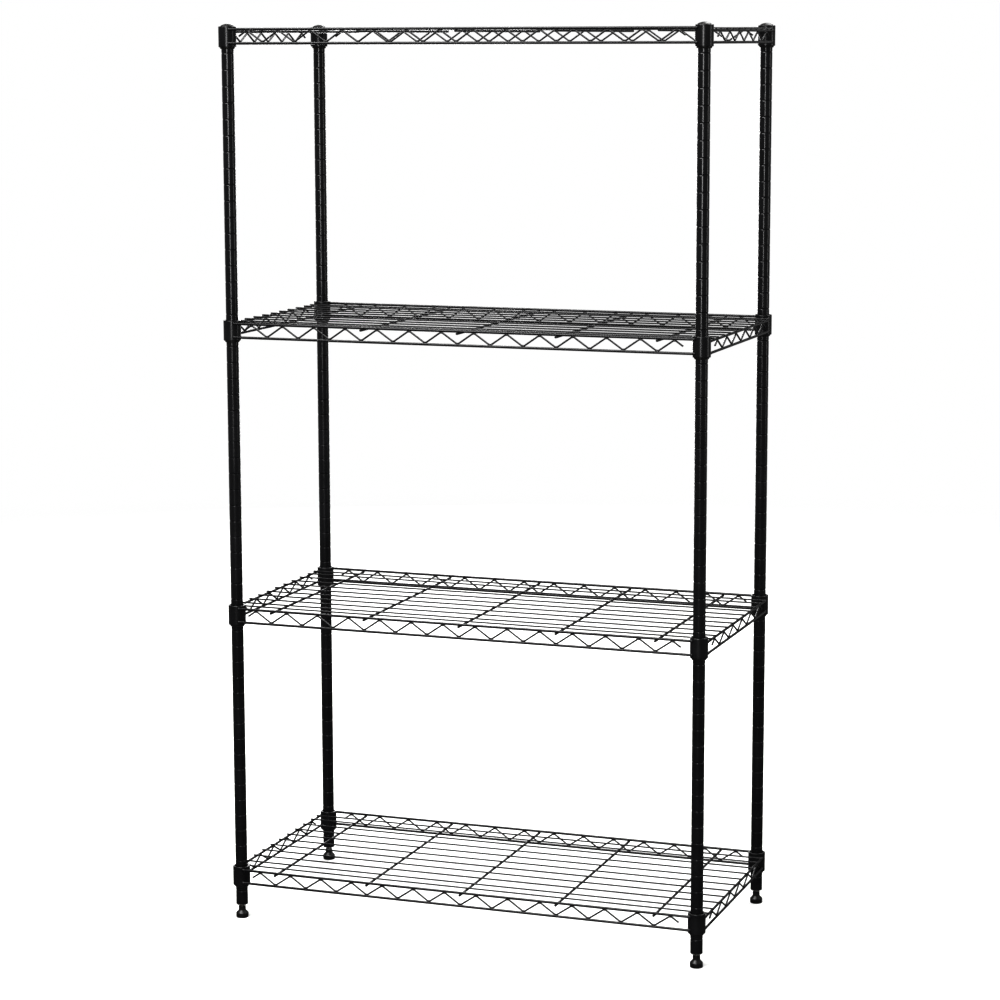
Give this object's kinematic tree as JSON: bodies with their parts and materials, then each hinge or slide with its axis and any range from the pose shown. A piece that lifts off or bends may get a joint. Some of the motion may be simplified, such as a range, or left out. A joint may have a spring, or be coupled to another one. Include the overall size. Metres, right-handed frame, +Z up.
{
  "type": "wire shelving rack",
  "caption": "Tall open rack of black welded wire shelves that slide on grooved round posts, held by tapered split clips and standing on screw levelling feet.",
  "frame": {"origin": "centre of the footprint on the floor, under the foot pads", "axes": "+X to the right along the shelves, +Y to the rear, +Z up along the posts"},
  "size_m": [0.7976, 0.3846, 1.4368],
  "materials": {
    "black_post_coating": "gloss black coating on steel tube",
    "black_wire_coating": "gloss black coating on welded steel wire",
    "black_moulding": "black moulded plastic",
    "zinc_steel": "bright zinc-plated steel"
  },
  "bodies": {
    "posts": {"post_front_left": "black_post_coating", "post_front_right": "black_post_coating", "post_rear_left": "black_post_coating", "post_rear_right": "black_post_coating", "post_cap_front_left": "black_moulding", "post_cap_front_right": "black_moulding", "post_cap_rear_left": "black_moulding", "post_cap_rear_right": "black_moulding", "foot_nut_front_left": "zinc_steel", "foot_nut_front_right": "zinc_steel", "foot_nut_rear_left": "zinc_steel", "foot_nut_rear_right": "zinc_steel", "shelf_1_front_clips": "black_moulding", "shelf_1_rear_clips": "black_moulding", "shelf_2_front_clips": "black_moulding", "shelf_2_rear_clips": "black_moulding", "shelf_3_front_clips": "black_moulding", "shelf_3_rear_clips": "black_moulding", "shelf_4_front_clips": "black_moulding", "shelf_4_rear_clips": "black_moulding"},
    "shelf_1": {"shelf_1_collars": "black_wire_coating", "shelf_1_upper_rims": "black_wire_coating", "shelf_1_lower_rims": "black_wire_coating", "shelf_1_trusses": "black_wire_coating", "shelf_1_cross_wires": "black_wire_coating", "shelf_1_deck_wires": "black_wire_coating"},
    "shelf_2": {"shelf_2_collars": "black_wire_coating", "shelf_2_upper_rims": "black_wire_coating", "shelf_2_lower_rims": "black_wire_coating", "shelf_2_trusses": "black_wire_coating", "shelf_2_cross_wires": "black_wire_coating", "shelf_2_deck_wires": "black_wire_coating"},
    "shelf_3": {"shelf_3_collars": "black_wire_coating", "shelf_3_upper_rims": "black_wire_coating", "shelf_3_lower_rims": "black_wire_coating", "shelf_3_trusses": "black_wire_coating", "shelf_3_cross_wires": "black_wire_coating", "shelf_3_deck_wires": "black_wire_coating"},
    "shelf_4": {"shelf_4_collars": "black_wire_coating", "shelf_4_upper_rims": "black_wire_coating", "shelf_4_lower_rims": "black_wire_coating", "shelf_4_trusses": "black_wire_coating", "shelf_4_cross_wires": "black_wire_coating", "shelf_4_deck_wires": "black_wire_coating"},
    "stud_front_left": {"foot_stud_front_left": "zinc_steel"},
    "pad_front_left": {"foot_pad_front_left": "black_moulding"},
    "stud_front_right": {"foot_stud_front_right": "zinc_steel"},
    "pad_front_right": {"foot_pad_front_right": "black_moulding"},
    "stud_rear_left": {"foot_stud_rear_left": "zinc_steel"},
    "pad_rear_left": {"foot_pad_rear_left": "black_moulding"},
    "stud_rear_right": {"foot_stud_rear_right": "zinc_steel"},
    "pad_rear_right": {"foot_pad_rear_right": "black_moulding"}
  },
  "joints": [
    {"name": "shelf_1_lift", "type": "slide", "parent": "posts", "child": "shelf_1", "axis": [0, 0, 1], "range_m": [0, 0.381]},
    {"name": "shelf_2_lift", "type": "slide", "parent": "posts", "child": "shelf_2", "axis": [0, 0, 1], "range_m": [0, 0.4064]},
    {"name": "shelf_3_lift", "type": "slide", "parent": "posts", "child": "shelf_3", "axis": [0, 0, 1], "range_m": [0, 0.4064]},
    {"name": "shelf_4_lift", "type": "slide", "parent": "posts", "child": "shelf_4", "axis": [0, 0, 1], "range_m": [0, 0.06]},
    {"name": "foot_screw_front_left", "type": "slide", "parent": "posts", "child": "stud_front_left", "axis": [0, 0, -1], "range_m": [-0.0025, 0.0125]},
    {"name": "foot_turn_front_left", "type": "hinge", "parent": "stud_front_left", "child": "pad_front_left", "pos_m": [-0.3845, -0.178, 0], "axis": [0, 0, -1], "range_deg": [-721, 3601]},
    {"name": "foot_screw_front_right", "type": "slide", "parent": "posts", "child": "stud_front_right", "axis": [0, 0, -1], "range_m": [-0.0025, 0.0125]},
    {"name": "foot_turn_front_right", "type": "hinge", "parent": "stud_front_right", "child": "pad_front_right", "pos_m": [0.3845, -0.178, 0], "axis": [0, 0, -1], "range_deg": [-721, 3601]},
    {"name": "foot_screw_rear_left", "type": "slide", "parent": "posts", "child": "stud_rear_left", "axis": [0, 0, -1], "range_m": [-0.0025, 0.0125]},
    {"name": "foot_turn_rear_left", "type": "hinge", "parent": "stud_rear_left", "child": "pad_rear_left", "pos_m": [-0.3845, 0.178, 0], "axis": [0, 0, -1], "range_deg": [-721, 3601]},
    {"name": "foot_screw_rear_right", "type": "slide", "parent": "posts", "child": "stud_rear_right", "axis": [0, 0, -1], "range_m": [-0.0025, 0.0125]},
    {"name": "foot_turn_rear_right", "type": "hinge", "parent": "stud_rear_right", "child": "pad_rear_right", "pos_m": [0.3845, 0.178, 0], "axis": [0, 0, -1], "range_deg": [-721, 3601]}
  ],
  "couplings": [
    {"joint": "foot_turn_front_left", "follows": "foot_screw_front_left", "rad_per_m": 5026.5},
    {"joint": "foot_turn_front_right", "follows": "foot_screw_front_right", "rad_per_m": 5026.5},
    {"joint": "foot_turn_rear_left", "follows": "foot_screw_rear_left", "rad_per_m": 5026.5},
    {"joint": "foot_turn_rear_right", "follows": "foot_screw_rear_right", "rad_per_m": 5026.5}
  ]
}
